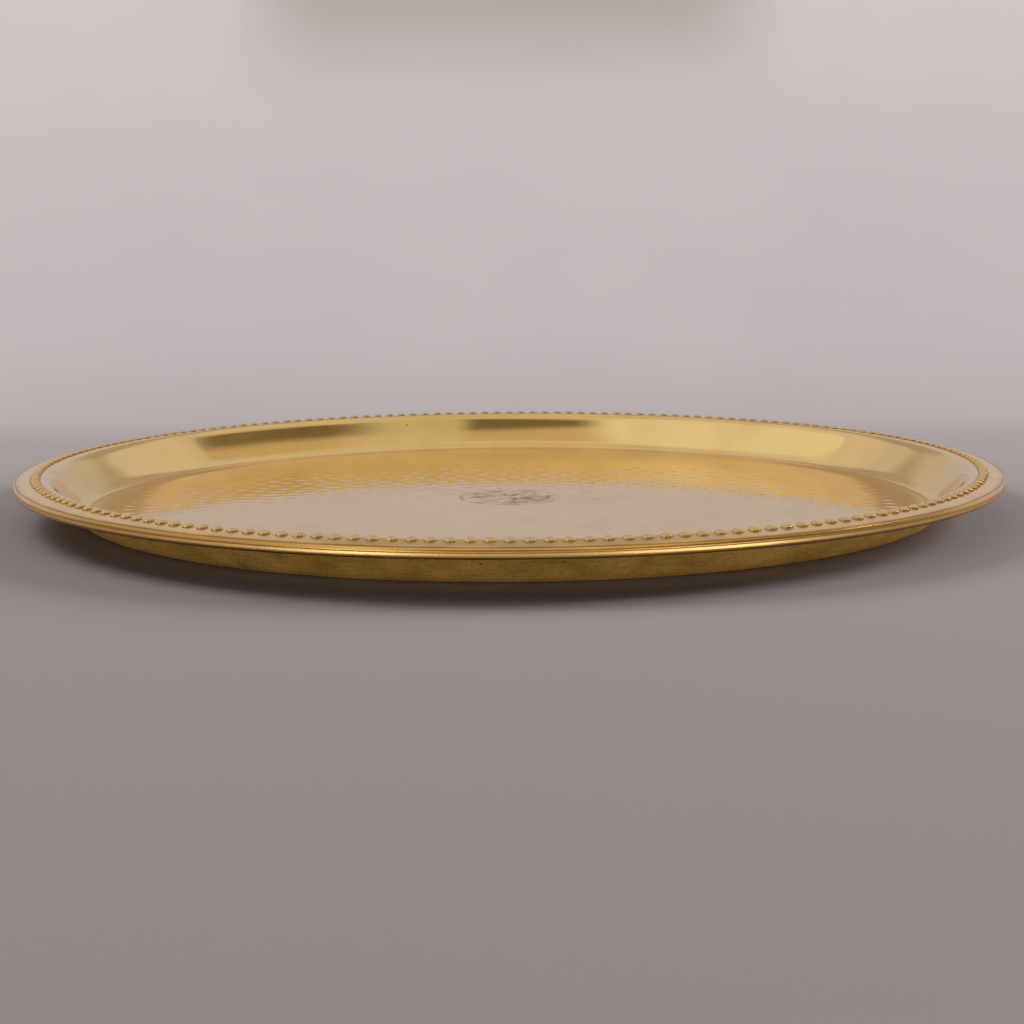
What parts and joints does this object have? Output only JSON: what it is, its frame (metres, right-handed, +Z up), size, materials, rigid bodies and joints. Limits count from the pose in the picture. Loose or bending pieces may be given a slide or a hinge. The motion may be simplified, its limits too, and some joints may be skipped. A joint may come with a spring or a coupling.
{
  "type": "thali plate",
  "caption": "Shallow round brass thali plate with a hammered floor, sloped wall, a ledge that falls outwards and carries a row of small beads, and a lip rolled round a wire.",
  "frame": {"origin": "on the table, under the middle of the plate's floor", "axes": "+Z up along the plate's axis of revolution, -Y towards the viewer of the picture, +X to the viewer's right"},
  "size_m": [0.305, 0.305, 0.014],
  "materials": {
    "sheet_brass": "polished inside, satin outside",
    "wire_brass": "drawn",
    "bead_brass": "polished"
  },
  "bodies": {
    "root": {"dish": "sheet_brass", "rim_wire": "wire_brass", "rim_beads": "bead_brass"}
  },
  "joints": []
}
